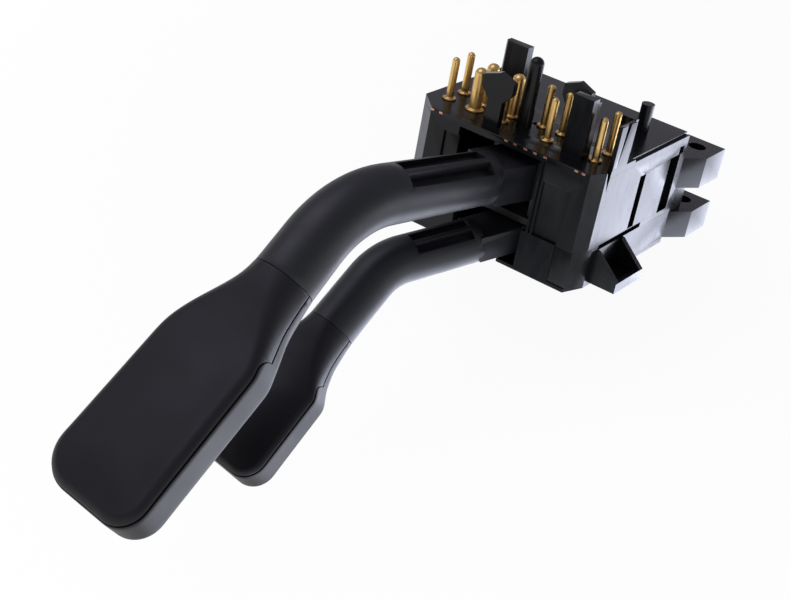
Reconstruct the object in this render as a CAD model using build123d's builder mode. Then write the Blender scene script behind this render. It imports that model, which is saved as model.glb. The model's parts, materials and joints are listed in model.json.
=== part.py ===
"""Combination stalk switch: two bent stalks in a two-storey switch housing.

Frame: the origin is the centre of the connector plate's top face. +Z is the
way the terminals point, -Y is the front that the stalks leave by, and +X is
the side with the mounting ears. All sizes are millimetres.
"""
from build123d import *
from math import cos, radians, sin, sqrt
import os

os.makedirs("parts", exist_ok=True)

# Housing envelope
housing_width = 60.0
housing_depth = 53.2
upper_height = 22.9
lower_height = 12.1
wall = 2.0
plate_thickness = 2.0
cover_thickness = 1.1
divider_thickness = 2.0
left_chamfer = 6.6
nose_width = 2.3
upper_nose_depth = 4.8
lower_nose_depth = 7.2
seat_gap = 0.02
running_gap = 0.05
side_gap = 0.3

left = -housing_width / 2
right = housing_width / 2
front = -housing_depth / 2
rear = housing_depth / 2
plate_z = -plate_thickness
parting_z = -upper_height
divider_z = parting_z + divider_thickness
bottom_z = parting_z - lower_height
cover_z = bottom_z + cover_thickness

# Openings that the stalks leave by
upper_opening = (-13.4, 12.9)
lower_opening = (-10.0, 11.6)

# Terminals
terminal_height = 12.3
tail_depth = 3.0
small_terminal_radius = 1.065
small_flange_radius = 1.9
large_terminal_radius = 1.75
large_flange_radius = 2.6
flange_height = 0.6
front_row = front + 9.3
row_pitch = 7.5
rear_row = front_row + row_pitch
small_columns = (left + 6.0, 8.4, right - 6.4)
lone_small_column = 0.4
large_columns = (left + 14.6, left + 23.1)

# Posts and walls of the connector plate
key_thickness = 2.2
key_stem_width = 4.6
key_head_bottom = 7.0
key_eaves_bottom = 10.0
key_eaves_top = 13.2
key_peak = 15.0
front_key = (-6.7, front + 5.0, 9.7)
rear_key = (9.3, front + 20.0, 8.6)
blade_left = left + 10.2
blade_width = 7.7
blade_y = front + 28.0
blade_thickness = 3.0
blade_chamfer = 0.8
blade_height = 15.7
round_post = (-1.4, front + 13.0)
round_post_radius = 2.0
round_post_foot_radius = 2.2
round_post_foot_height = 5.0
round_post_height = 19.6
corner_key_left = right - 15.0
corner_key_width = 6.2
corner_key_front = front + 5.6
corner_key_thickness = 3.0
corner_key_height = 16.8
corner_key_wing = 1.4
corner_key_wing_width = 2.2
shroud_height = 12.2
shroud_wall = 1.3
shroud_front = front + 7.4
shroud_back = front + 15.3
back_wall_rear = front + 20.6
back_wall_inset = 2.2
back_wall_height = 10.9
groove_depth_side = 0.6
side_notch = (front + 5.0, front + 7.2, front + 6.6)
side_notch_drop = 5.8
side_notch_depth = 1.0
locating_peg = (right - 9.0, rear - 13.2)
locating_peg_radius = 1.85
locating_peg_height = 8.5
rim_lip = 1.0
rim_drop = 0.8
rim_front = front + 20.5

# Lead-frame ends that show at the plate's front edge
stub_columns = (left + 7.0, left + 9.8, 1.3, 4.2, 7.5, 10.5, 13.7, right - 6.6, right - 4.4)
stub_width = 1.1
stub_height = 0.6
stub_top = -0.35
stub_length = 7.0

# Mounting ears behind the rear right corner
ear_inner_x = right - 8.0
ear_outer_x = right + 4.4
ear_knee_y = rear + 6.4
ear_end_y = rear + 18.8
ear_bore = (right - 1.8, rear + 12.4)
ear_bore_radius = 2.6
upper_ear_bottom = parting_z + 5.6
upper_ear_top = upper_ear_bottom + 9.3
lower_ear_top = parting_z - 2.1
lower_ear_bottom = cover_z + 0.5
ear_web_depth = 7.3

# Gusset lug low on the right side
lug_reach = 8.2
lug_front = front + 9.6
lug_rear = front + 25.0
lug_rib = 1.8
lug_floor = 1.6
lug_lip = 1.4
lug_lip_height = 2.9
lug_rib_flat = 0.6

# Screws that hold the lower housing and cover to the upper housing
boss_radius = 3.0
screw_radius = 1.25
screw_head_radius = 2.4
screw_head_height = 0.9
screw_bite = 8.0
boss_x = right - wall - boss_radius + 0.4
boss_front_y = front + 9.5
boss_rear_y = rear - wall - boss_radius + 0.4
screw_places = [
    (-boss_x, boss_front_y),
    (boss_x, boss_front_y),
    (-boss_x, boss_rear_y),
    (boss_x, boss_rear_y),
]


def housing_outline(nose_depth, inset=0.0):
    """Face of the housing from above, with both cut front corners."""
    with BuildLine() as outline:
        Polyline(
            (left + left_chamfer, front),
            (right - nose_width, front),
            (right, front + nose_depth),
            (right, rear),
            (left, rear),
            (left, front + left_chamfer),
            close=True,
        )
    make_face(outline.edges())
    if inset > 0:
        offset(amount=-inset, kind=Kind.INTERSECTION)


def block(x_range, y_range, z_range, mode=Mode.ADD):
    """A box between two corners, inside the part being built."""
    with BuildSketch(Plane.XY.offset(z_range[0])) as profile:
        with Locations(((x_range[0] + x_range[1]) / 2, (y_range[0] + y_range[1]) / 2)):
            Rectangle(x_range[1] - x_range[0], y_range[1] - y_range[0])
    extrude(profile.sketch, amount=z_range[1] - z_range[0], mode=mode)


def disc(centre, radius, z_range, mode=Mode.ADD):
    """An upright cylinder, inside the part being built."""
    with BuildSketch(Plane.XY.offset(z_range[0])) as profile:
        with Locations(centre):
            Circle(radius)
    extrude(profile.sketch, amount=z_range[1] - z_range[0], mode=mode)


def save(builder, name):
    """Label a finished piece and write its file."""
    builder.part.label = name
    export_step(builder.part, f"parts/{name}.step")


class Stalk:
    """Sizes and reference points of one stalk and the mechanism that carries it."""

    def __init__(self, name, root, skew, rise, straight, bend_radius, outer_skew, fall, tail,
                 root_radius, seam_radius, shoulder, bar, arm_scale, levels):
        self.name = name
        self.root = Vector(*root)
        self.skew = skew
        self.rise = rise
        self.straight = straight
        self.bend_radius = bend_radius
        self.tail = tail
        self.root_radius = root_radius
        self.seam_radius = seam_radius
        self.shoulder = shoulder
        self.bar_width, self.bar_height = bar
        self.scale = arm_scale
        self.carrier_bottom, self.carrier_top, self.contact_side = levels
        self.inner_way = self.heading(skew, rise)
        self.outer_way = self.heading(outer_skew, -fall)
        self.turn = radians(self.inner_way.get_angle(self.outer_way))
        across = self.outer_way - self.inner_way * self.inner_way.dot(self.outer_way)
        self.inward = across.normalized()
        self.length = straight + bend_radius * self.turn + tail
        flat_way = self.heading(skew, 0)
        self.flat_way = flat_way
        self.side = Vector(-flat_way.Y, flat_way.X, 0)
        pivot = self.root - flat_way * pivot_depth
        self.pivot = (pivot.X, pivot.Y)
        self.tilt_centre = self.root - self.inner_way * (tilt_depth / cos(radians(rise)))

    @staticmethod
    def heading(skew, rise):
        """Unit vector that leaves the front, turned to the left and raised, in degrees."""
        level = cos(radians(rise))
        return Vector(-sin(radians(skew)) * level, -cos(radians(skew)) * level, sin(radians(rise)))

    def radius(self, s):
        """Arm radius at a length along the centre line from the housing front."""
        return self.root_radius + (self.seam_radius - self.root_radius) * s / self.length

    def plane(self, s):
        """Plane square to the centre line at a length from the housing front."""
        bend_start = self.root + self.inner_way * self.straight
        bend_length = self.bend_radius * self.turn
        if s <= self.straight:
            centre = self.root + self.inner_way * s
            way = self.inner_way
        elif s <= self.straight + bend_length:
            angle = (s - self.straight) / self.bend_radius
            centre = (bend_start + self.inner_way * (self.bend_radius * sin(angle))
                      + self.inward * (self.bend_radius * (1 - cos(angle))))
            way = self.inner_way * cos(angle) + self.inward * sin(angle)
        else:
            bend_end = (bend_start + self.inner_way * (self.bend_radius * sin(self.turn))
                        + self.inward * (self.bend_radius * (1 - cos(self.turn))))
            centre = bend_end + self.outer_way * (s - self.straight - bend_length)
            way = self.outer_way
        sideways = way.cross(Vector(0, 0, 1)).normalized() * -1
        return Plane(origin=centre, x_dir=sideways, z_dir=way)


# Mechanism sizes that both stalks share
pivot_depth = 17.0
tilt_depth = 8.5
pivot_radius = 1.75
pivot_seat = 0.8
bar_end_depth = 11.4
bar_chamfer = 1.0
hub_face = 4.5
cheek_front = 11.0
cheek_gap = 0.3
hub_radius = 6.5
tail_length = 12.0
tail_half_width = 4.2
groove_depth = 1.0
detent_radius = 2.0
detent_bore_start = 4.4
detent_body_start = 7.6
detent_tip = 14.5
detent_travel = 0.6
spring_wall = 0.35
plunger_wall = 0.7
detent_track_gap = 0.25
detent_track_depth = 4.0
detent_track_width = 15.0
detent_track_lead = 3.5
detent_track_margin = 1.5
detent_notch = 1.0
drive_peg_offset = 9.0
drive_peg_radius = 1.2
drive_peg_gap = 0.1
slider_length = 22.0
slider_width = 7.0
slider_thickness = 1.3
rail_width = 1.2
rail_length = 28.0
strip_thickness = 0.4
strip_width = 1.4
strip_offset = 2.3
bridge_thickness = 0.25
bridge_spacing = 7.0
arm_stations = 7
spigot_length = 14.0
grip_screw_place = 8.0

upper = Stalk("upper", root=(1.7, front, parting_z + 12.5), skew=11.3, rise=2.9, straight=42.3,
              bend_radius=31.7, outer_skew=4.2, fall=42.0, tail=11.6, root_radius=7.2,
              seam_radius=8.55, shoulder=6.0, bar=(14.0, 10.7), arm_scale=1.0,
              levels=(divider_z + 0.4, plate_z - 2.6, 1))
lower = Stalk("lower", root=(2.0, front, cover_z + 5.2), skew=22.4, rise=-8.5, straight=27.2,
              bend_radius=18.7, outer_skew=5.9, fall=40.7, tail=16.2, root_radius=6.25,
              seam_radius=6.8, shoulder=5.0, bar=(12.0, 7.6), arm_scale=0.76,
              levels=(cover_z + 2.3, parting_z - 0.3, -1))
stalks = (upper, lower)


def key_post(place):
    """Flat coding post with a pitched head wider than its stem."""
    x, y, head_width = place
    half_head = head_width / 2
    half_stem = key_stem_width / 2
    with BuildSketch(Plane.XZ.offset(-y - key_thickness / 2)) as profile:
        with BuildLine():
            Polyline(
                (x - half_stem, 0),
                (x + half_stem, 0),
                (x + half_stem, key_head_bottom),
                (x + half_head, key_eaves_bottom),
                (x + half_head, key_eaves_top),
                (x, key_peak),
                (x - half_head, key_eaves_top),
                (x - half_head, key_eaves_bottom),
                (x - half_stem, key_head_bottom),
                close=True,
            )
        make_face()
    extrude(profile.sketch, amount=key_thickness)


def blade():
    """Tall flat coding blade with its left edge and top corner taken off."""
    blade_front = blade_y - blade_thickness / 2
    with BuildSketch() as profile:
        with BuildLine():
            Polyline(
                (blade_left + blade_chamfer, blade_front),
                (blade_left + blade_width, blade_front),
                (blade_left + blade_width, blade_front + blade_thickness),
                (blade_left, blade_front + blade_thickness),
                (blade_left, blade_front + blade_chamfer),
                close=True,
            )
        make_face()
    extrude(profile.sketch, amount=blade_height)


def side_wedge(corners, depth):
    """Tapered cut into the right side, from its corners (y, z)."""
    with BuildSketch(Plane.YZ.offset(right - depth)) as profile:
        with BuildLine():
            Polyline(*corners, close=True)
        make_face()
    extrude(profile.sketch, amount=2 * depth, mode=Mode.SUBTRACT)


def side_notch_cut():
    """Dark wedge at the top front of the right side, through plate and wall."""
    start, end, tip = side_notch
    side_wedge(((start, rim_lip), (end, rim_lip), (end, 0), (tip, -side_notch_drop), (start, 0)),
               side_notch_depth)


def slider_y(stalk):
    """Centre of the slider's run, level with the drive peg."""
    return stalk.pivot[1] + drive_peg_offset


def slider_rails(stalk, face_z, way):
    """Two rails that guide a contact slider, standing out of a flat face."""
    reach = strip_thickness + bridge_thickness + slider_thickness
    z_range = sorted((face_z, face_z + way * reach))
    for side in (-1, 1):
        inner = slider_y(stalk) + side * (slider_width / 2 + running_gap)
        outer = inner + side * rail_width
        block(
            (stalk.pivot[0] - rail_length / 2, stalk.pivot[0] + rail_length / 2),
            sorted((inner, outer)),
            z_range,
        )


small_places = [(x, y) for x in small_columns for y in (front_row, rear_row)]
small_places.append((lone_small_column, rear_row))
large_places = [(x, y) for x in large_columns for y in (front_row, rear_row)]

with BuildPart() as connector_plate:
    with BuildSketch(Plane.XY.offset(plate_z)):
        housing_outline(upper_nose_depth)
    extrude(amount=plate_thickness)
    block((right - rim_lip, right), (rim_front, rear), (plate_z, 0), Mode.SUBTRACT)
    key_post(front_key)
    key_post(rear_key)
    blade()
    disc(round_post, round_post_foot_radius, (0, round_post_foot_height))
    disc(round_post, round_post_radius, (0, round_post_height - round_post_radius))
    with Locations((round_post[0], round_post[1], round_post_height - round_post_radius)):
        Sphere(round_post_radius)
    corner_key_right = corner_key_left + corner_key_width
    corner_key_back = corner_key_front + corner_key_thickness
    block((corner_key_left, corner_key_right), (corner_key_front, corner_key_back),
          (0, corner_key_height))
    block((corner_key_right - corner_key_wing_width, corner_key_right),
          (corner_key_back, corner_key_back + corner_key_wing), (0, corner_key_height - 1.2))
    block((right - shroud_wall, right), (shroud_front, shroud_back), (0, shroud_height))
    side_wedge(((shroud_front + 2.0, 0.8), (shroud_front + 3.2, shroud_height + 1),
                (shroud_front + 5.2, shroud_height + 1)), groove_depth_side)
    block((corner_key_right, right - back_wall_inset),
          (back_wall_rear - shroud_wall, back_wall_rear), (0, back_wall_height))
    disc(locating_peg, locating_peg_radius, (0, locating_peg_height))
    for x, y in small_places:
        disc((x, y), small_terminal_radius + seat_gap, (plate_z, flange_height), Mode.SUBTRACT)
    for x, y in large_places:
        disc((x, y), large_terminal_radius + seat_gap, (plate_z, flange_height), Mode.SUBTRACT)
    for x in stub_columns:
        block((x - stub_width / 2, x + stub_width / 2), (front, front + stub_length),
              (stub_top - stub_height, stub_top), Mode.SUBTRACT)
    side_notch_cut()
    slider_rails(upper, plate_z, -1)
    disc(upper.pivot, pivot_radius + seat_gap, (plate_z, plate_z + pivot_seat), Mode.SUBTRACT)
save(connector_plate, "connector_plate")


def terminal(place, radius, flange):
    """Turned pin with a round flange on the plate and a domed tip."""
    with BuildSketch(Plane.XZ.offset(-place[1])) as half:
        with BuildLine():
            x = place[0]
            Polyline(
                (x, terminal_height),
                (x, -tail_depth),
                (x + radius, -tail_depth),
                (x + radius, 0),
                (x + flange, 0),
                (x + flange, flange_height),
                (x + radius, flange_height),
                (x + radius, terminal_height - radius),
            )
            CenterArc((x, terminal_height - radius), radius, 0, 90)
        make_face()
    revolve(half.sketch, axis=Axis((place[0], place[1], 0), (0, 0, 1)))


with BuildPart() as small_terminals:
    for place in small_places:
        terminal(place, small_terminal_radius, small_flange_radius)
save(small_terminals, "small_terminals")

with BuildPart() as large_terminals:
    for place in large_places:
        terminal(place, large_terminal_radius, large_flange_radius)
save(large_terminals, "large_terminals")

with BuildPart() as lead_frame:
    for x in stub_columns:
        block((x - stub_width / 2, x + stub_width / 2), (front, front + stub_length),
              (stub_top - stub_height, stub_top))
save(lead_frame, "lead_frame")

# Upper housing: four walls, screw bosses, the upper ear and the cut-outs of its faces
side_slot = (front + 26.5, front + 29.8)
side_slot_z = (parting_z + 0.3, plate_z - 4.6)
rear_slot = (front + 44.2, front + 50.0)
rear_slot_z = (parting_z, plate_z - 3.7)
rear_slot_neck = (front + 48.8, front + 51.4)
rear_slot_neck_z = (plate_z - 3.7, plate_z - 1.4)
panel_depth = 0.9
right_panel = (right - 15.1, right - 7.4)
right_panel_top = plate_z - 5.0
left_panel = (-18.0, upper_opening[0])
left_panel_z = (plate_z - 10.9, plate_z - 2.8)
front_groove = (upper_opening[1] + 0.7, upper_opening[1] + 1.3)
front_groove_depth = 0.7


def ear_outline():
    """Ear from above: a slanted front edge, then square to the end."""
    with BuildLine() as outline:
        Polyline(
            (ear_inner_x, rear - wall),
            (right, rear - wall),
            (right, rear),
            (ear_outer_x, ear_knee_y),
            (ear_outer_x, ear_end_y),
            (ear_inner_x, ear_end_y),
            close=True,
        )
    make_face(outline.edges())


def ear(z_range):
    """One mounting ear with its bolt bore."""
    with BuildSketch(Plane.XY.offset(z_range[0])) as profile:
        ear_outline()
    extrude(profile.sketch, amount=z_range[1] - z_range[0])
    disc(ear_bore, ear_bore_radius, z_range, Mode.SUBTRACT)


with BuildPart() as upper_housing:
    with BuildSketch(Plane.XY.offset(parting_z)):
        housing_outline(upper_nose_depth)
    extrude(amount=upper_height - plate_thickness)
    with BuildSketch(Plane.XY.offset(parting_z)):
        housing_outline(upper_nose_depth, wall)
    extrude(amount=upper_height - plate_thickness, mode=Mode.SUBTRACT)
    block((right - rim_lip, right), (rim_front, rear), (plate_z, -rim_drop))
    block(upper_opening, (front - 1, front + 2 * wall), (parting_z, plate_z), Mode.SUBTRACT)
    block((right - wall - 1, right + 1), side_slot, side_slot_z, Mode.SUBTRACT)
    block((right - wall - 1, right + 1), rear_slot, rear_slot_z, Mode.SUBTRACT)
    block((right - wall - 1, right + 1), rear_slot_neck, rear_slot_neck_z, Mode.SUBTRACT)
    block(right_panel, (front - 1, front + panel_depth), (parting_z, right_panel_top), Mode.SUBTRACT)
    block(front_groove, (front - 1, front + front_groove_depth), (parting_z, plate_z), Mode.SUBTRACT)
    side_notch_cut()
    block(left_panel, (front - 1, front + panel_depth), left_panel_z, Mode.SUBTRACT)
    for x, y in screw_places:
        disc((x, y), boss_radius, (parting_z, parting_z + screw_bite + 1.5))
    ear((upper_ear_bottom, upper_ear_top))
    block((ear_inner_x, right), (rear - wall, rear + ear_web_depth),
          (parting_z, upper_ear_bottom))
    for x, y in screw_places:
        disc((x, y), screw_radius + seat_gap, (parting_z, parting_z + screw_bite + 0.5),
             Mode.SUBTRACT)
save(upper_housing, "upper_housing")

with BuildPart() as divider_plate:
    with BuildSketch(Plane.XY.offset(parting_z)):
        housing_outline(upper_nose_depth, wall + seat_gap)
    extrude(amount=divider_thickness)
    block((-housing_width, housing_width), (front - 1, front + 3.5),
          (parting_z, divider_z), Mode.SUBTRACT)
    for x, y in screw_places:
        reach = boss_radius + side_gap
        disc((x, y), reach, (parting_z, divider_z), Mode.SUBTRACT)
        far_x = x + (housing_width if x > 0 else -housing_width)
        far_y = rear if y > 0 else y + reach
        block(sorted((x, far_x)), (y - reach, far_y), (parting_z, divider_z), Mode.SUBTRACT)
    disc(upper.pivot, pivot_radius + seat_gap, (divider_z - pivot_seat, divider_z), Mode.SUBTRACT)
    disc(lower.pivot, pivot_radius + seat_gap, (parting_z, parting_z + pivot_seat), Mode.SUBTRACT)
save(divider_plate, "divider_plate")

# Lower housing: walls, screw bosses, the lower ear and the gusset lug
side_gap_y = (front + 10.6, front + 34.6)
side_gap_height = 1.5
corner_step_left = right - 7.6
corner_step_depth = 0.4
cover_lip_left = 6.0
cover_relief = 2.0

with BuildPart() as lower_housing:
    with BuildSketch(Plane.XY.offset(cover_z)):
        housing_outline(lower_nose_depth)
    extrude(amount=parting_z - cover_z)
    with BuildSketch(Plane.XY.offset(cover_z)):
        housing_outline(lower_nose_depth, wall)
    extrude(amount=parting_z - cover_z, mode=Mode.SUBTRACT)
    block(lower_opening, (front - 1, front + 2 * wall), (cover_z, parting_z), Mode.SUBTRACT)
    block((right - wall - 1, right + 1), side_gap_y,
          (parting_z - side_gap_height, parting_z), Mode.SUBTRACT)
    block((corner_step_left, right), (front - 1, front + corner_step_depth),
          (cover_z, parting_z), Mode.SUBTRACT)
    for x, y in screw_places:
        disc((x, y), boss_radius, (cover_z, parting_z))
    ear((lower_ear_bottom, lower_ear_top))
    block((ear_inner_x, right), (rear - wall, rear + ear_web_depth),
          (lower_ear_top, parting_z))
    block((right - wall, right + lug_reach), (lug_front, lug_rear), (cover_z, cover_z + lug_floor))
    block((right + lug_reach - lug_lip, right + lug_reach), (lug_front, lug_rear),
          (cover_z, cover_z + lug_lip_height))
    for rib_y in (lug_front, lug_rear - lug_rib):
        with BuildSketch(Plane.XZ.offset(-rib_y - lug_rib)):
            with BuildLine():
                Polyline(
                    (right - wall, cover_z),
                    (right + lug_reach, cover_z),
                    (right + lug_reach, cover_z + lug_lip_height),
                    (right + lug_rib_flat, parting_z - side_gap_height),
                    (right - wall, parting_z - side_gap_height),
                    close=True,
                )
            make_face()
        extrude(amount=lug_rib)
    for x, y in screw_places:
        disc((x, y), screw_radius + side_gap, (cover_z, parting_z), Mode.SUBTRACT)
save(lower_housing, "lower_housing")

with BuildPart() as bottom_cover:
    with BuildSketch(Plane.XY.offset(bottom_z)):
        housing_outline(lower_nose_depth)
    extrude(amount=cover_thickness)
    slider_rails(lower, cover_z, 1)
    disc(lower.pivot, pivot_radius + seat_gap, (cover_z - pivot_seat, cover_z), Mode.SUBTRACT)
    block((lower_opening[0], cover_lip_left), (front - 1, front + cover_relief),
          (bottom_z, cover_z), Mode.SUBTRACT)
    for x, y in screw_places:
        disc((x, y), screw_head_radius + side_gap,
             (bottom_z, bottom_z + screw_head_height), Mode.SUBTRACT)
        disc((x, y), screw_radius + side_gap, (bottom_z, cover_z), Mode.SUBTRACT)
save(bottom_cover, "bottom_cover")

with BuildPart() as housing_screws:
    for place in screw_places:
        disc(place, screw_head_radius, (bottom_z, bottom_z + screw_head_height))
        disc(place, screw_radius, (bottom_z + screw_head_height, parting_z + screw_bite))
        disc(place, screw_radius * 0.6, (bottom_z, bottom_z + screw_head_height * 0.6),
             Mode.SUBTRACT)
save(housing_screws, "housing_screws")


def level_middle(stalk):
    """Height of the detent plunger's axis."""
    return (stalk.carrier_bottom + stalk.carrier_top) / 2


def build_carrier(stalk):
    """Swinging carrier: a yoke for the stalk's root bar, a hub and a detent tail."""
    px, py = stalk.pivot
    low, high = stalk.carrier_bottom, stalk.carrier_top
    yoke_half = stalk.bar_width / 2 + cheek_gap + stalk_cheek(stalk)
    pocket_half = stalk.bar_width / 2 + cheek_gap
    base = Plane(origin=(px, py, low), x_dir=stalk.side, z_dir=(0, 0, 1))
    forward = 1 if base.y_dir.dot(stalk.flat_way) > 0 else -1
    with BuildPart() as carrier:
        with BuildSketch(base):
            with Locations((0, forward * (cheek_front + 1) / 2)):
                Rectangle(2 * yoke_half, cheek_front - 1)
            Circle(py - front - wall - side_gap, mode=Mode.INTERSECT)
        extrude(amount=high - low)
        disc((px, py), hub_radius, (low, high))
        block((px - tail_half_width, px + tail_half_width), (py, py + tail_length), (low, high))
        with BuildSketch(base):
            with Locations((0, forward * (cheek_front + hub_face) / 2 + forward * 0.5)):
                Rectangle(2 * pocket_half, cheek_front - hub_face + 1)
        extrude(amount=high - low, mode=Mode.SUBTRACT)
        with Locations(Plane(origin=stalk.tilt_centre, z_dir=stalk.side)):
            Cylinder(tilt_radius(stalk) + seat_gap, 4 * yoke_half, mode=Mode.SUBTRACT)
        groove = Vector(px, py, 0) + stalk.flat_way * hub_face
        plunger_line = stalk.tilt_centre.Z + return_offset(stalk)
        with BuildSketch(Plane(origin=(groove.X, groove.Y, plunger_line),
                               x_dir=stalk.flat_way, z_dir=stalk.side)):
            Polygon((0.01, -2.2), (0.01, 2.2), (-groove_depth, 0.6), (-groove_depth, -0.6),
                    align=None)
        extrude(amount=return_radius(stalk) + 1, both=True, mode=Mode.SUBTRACT)
        disc((px, py), pivot_radius + running_gap, (low, high), Mode.SUBTRACT)
        with BuildSketch(Plane.XZ.offset(-py - tail_length)):
            with Locations((px, level_middle(stalk))):
                Circle(detent_radius + running_gap)
        extrude(amount=tail_length - detent_bore_start, mode=Mode.SUBTRACT)
        peg_z = high if stalk.contact_side > 0 else low
        peg_end = peg_z + stalk.contact_side * (slider_thickness + bridge_thickness)
        disc((px, py + drive_peg_offset), drive_peg_radius, sorted((peg_z, peg_end)))
    save(carrier, f"{stalk.name}_carrier")


def stalk_cheek(stalk):
    """Thickness of a carrier cheek."""
    return 2.6 * sqrt(stalk.scale)


def tilt_radius(stalk):
    """Radius of the cross pin that the stalk tilts on."""
    return 1.5 * sqrt(stalk.scale)


def return_radius(stalk):
    """Radius of the plunger that centres the stalk's tilt."""
    return 1.25 if stalk is upper else 0.9


def return_offset(stalk):
    """Height of the return plunger above the cross pin."""
    return 3.3 if stalk is upper else 2.5


def build_pins(stalk):
    """Upright pivot pin and cross pin."""
    if stalk is upper:
        z_range = (divider_z - pivot_seat, plate_z + pivot_seat)
    else:
        z_range = (cover_z - pivot_seat, parting_z + pivot_seat)
    with BuildPart() as pivot_pin:
        disc(stalk.pivot, pivot_radius, z_range)
        chamfer(pivot_pin.edges().filter_by(GeomType.CIRCLE), 0.3)
    save(pivot_pin, f"{stalk.name}_pivot_pin")
    yoke_half = stalk.bar_width / 2 + cheek_gap + stalk_cheek(stalk)
    with BuildPart() as tilt_pin:
        with Locations(Plane(origin=stalk.tilt_centre, z_dir=stalk.side)):
            Cylinder(tilt_radius(stalk), 2 * yoke_half - 0.4)
        chamfer(tilt_pin.edges().filter_by(GeomType.CIRCLE), 0.25)
    save(tilt_pin, f"{stalk.name}_tilt_pin")


def build_detent(stalk):
    """Sprung plunger in the carrier's tail and the notched track it runs along."""
    px, py = stalk.pivot
    middle = level_middle(stalk)
    bore_radius = detent_radius - plunger_wall
    spring_radius = bore_radius - running_gap
    cup_end = detent_tip - detent_radius
    with BuildPart() as plunger:
        with BuildSketch(Plane.XZ.offset(-py - cup_end)):
            with Locations((px, middle)):
                Circle(detent_radius)
        extrude(amount=cup_end - detent_body_start)
        with Locations((px, py + cup_end, middle)):
            Sphere(detent_radius)
        with BuildSketch(Plane.XZ.offset(-py - cup_end)):
            with Locations((px, middle)):
                Circle(bore_radius)
        extrude(amount=cup_end - detent_body_start, mode=Mode.SUBTRACT)
    save(plunger, f"{stalk.name}_detent_plunger")
    with BuildPart() as spring:
        with BuildSketch(Plane.XZ.offset(-py - cup_end + detent_travel + running_gap)):
            with Locations((px, middle)):
                Circle(spring_radius)
                Circle(spring_radius - spring_wall, mode=Mode.SUBTRACT)
        extrude(amount=cup_end - detent_travel - running_gap - detent_bore_start)
    save(spring, f"{stalk.name}_detent_spring")
    track_radius = detent_tip + detent_track_gap
    if stalk is upper:
        z_range = (divider_z, middle + detent_radius + detent_track_margin)
    else:
        z_range = (middle - detent_radius - detent_track_margin, parting_z)
    with BuildPart() as track:
        block((px - detent_track_width / 2, px + detent_track_width / 2),
              (py + detent_tip - detent_track_lead, py + detent_tip + detent_track_depth), z_range)
        disc((px, py), track_radius, z_range, Mode.SUBTRACT)
        for swing in (-stalk_swing(stalk), 0, stalk_swing(stalk)):
            angle = radians(swing)
            notch = (px + track_radius * sin(angle), py + track_radius * cos(angle))
            disc(notch, detent_notch, z_range, Mode.SUBTRACT)
    save(track, f"{stalk.name}_detent_track")


def stalk_swing(stalk):
    """Swing each way from rest to the outer detents, in degrees."""
    return 12.0 if stalk is upper else 8.0


def build_contacts(stalk):
    """Contact slider, its bridges and the fixed strips they rub on."""
    px = stalk.pivot[0]
    y = slider_y(stalk)
    face = plate_z if stalk is upper else cover_z
    way = -stalk.contact_side
    strip_z = sorted((face, face + way * strip_thickness))
    bridge_far = face + way * (strip_thickness + running_gap)
    bridge_near = bridge_far + way * bridge_thickness
    slider_far = bridge_near + way * slider_thickness
    with BuildPart() as strips:
        for side in (-1, 1):
            centre = y + side * strip_offset
            block((px - rail_length / 2, px + rail_length / 2),
                  (centre - strip_width / 2, centre + strip_width / 2), strip_z)
    save(strips, f"{stalk.name}_contact_strips")
    with BuildPart() as bridges:
        for side in (-1, 1):
            centre = px + side * bridge_spacing
            block((centre - 0.8, centre + 0.8), (y - slider_width / 2 + 0.3, y + slider_width / 2 - 0.3),
                  sorted((bridge_far, bridge_near)))
    save(bridges, f"{stalk.name}_contact_bridges")
    with BuildPart() as slider:
        block((px - slider_length / 2, px + slider_length / 2),
              (y - slider_width / 2, y + slider_width / 2), sorted((bridge_near, slider_far)))
        slot = drive_peg_radius + drive_peg_gap
        block((px - slot, px + slot), (y - slot - 0.6, y + slot + 0.6),
              sorted((bridge_near, slider_far)), Mode.SUBTRACT)
    save(slider, f"{stalk.name}_contact_slider")


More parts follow.
